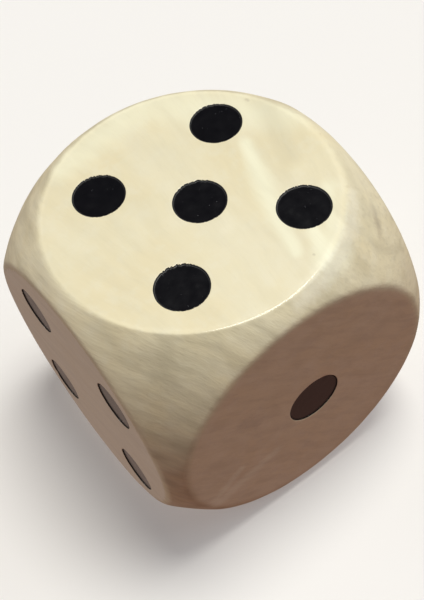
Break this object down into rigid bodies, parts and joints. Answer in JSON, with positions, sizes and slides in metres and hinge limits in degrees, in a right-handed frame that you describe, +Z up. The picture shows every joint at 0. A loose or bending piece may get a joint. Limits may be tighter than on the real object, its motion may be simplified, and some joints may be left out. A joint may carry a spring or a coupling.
{
  "type": "giant yard dice",
  "caption": "Large wooden cube with ball-turned corners and sunken, painted round spots, thrown by hand in outdoor dice games.",
  "frame": {"origin": "centre of the face that the die rests on, the one with two spots", "axes": "+Z up through the face with five spots, -Y out of the face with one spot, -X out of the face with four spots"},
  "size_m": [0.09, 0.09, 0.09],
  "materials": {
    "varnished_wood": "clear gloss varnish over pale, fine-grained wood",
    "black_paint": "semi-gloss black enamel"
  },
  "bodies": {
    "root": {"block": "varnished_wood", "pip_one_middle": "black_paint", "pip_two_low_left": "black_paint", "pip_two_high_right": "black_paint", "pip_three_low_right": "black_paint", "pip_three_middle": "black_paint", "pip_three_high_left": "black_paint", "pip_four_low_left": "black_paint", "pip_four_low_right": "black_paint", "pip_four_high_left": "black_paint", "pip_four_high_right": "black_paint", "pip_five_low_left": "black_paint", "pip_five_low_right": "black_paint", "pip_five_middle": "black_paint", "pip_five_high_left": "black_paint", "pip_five_high_right": "black_paint", "pip_six_low_left": "black_paint", "pip_six_left": "black_paint", "pip_six_high_left": "black_paint", "pip_six_low_right": "black_paint", "pip_six_right": "black_paint", "pip_six_high_right": "black_paint"}
  },
  "joints": []
}
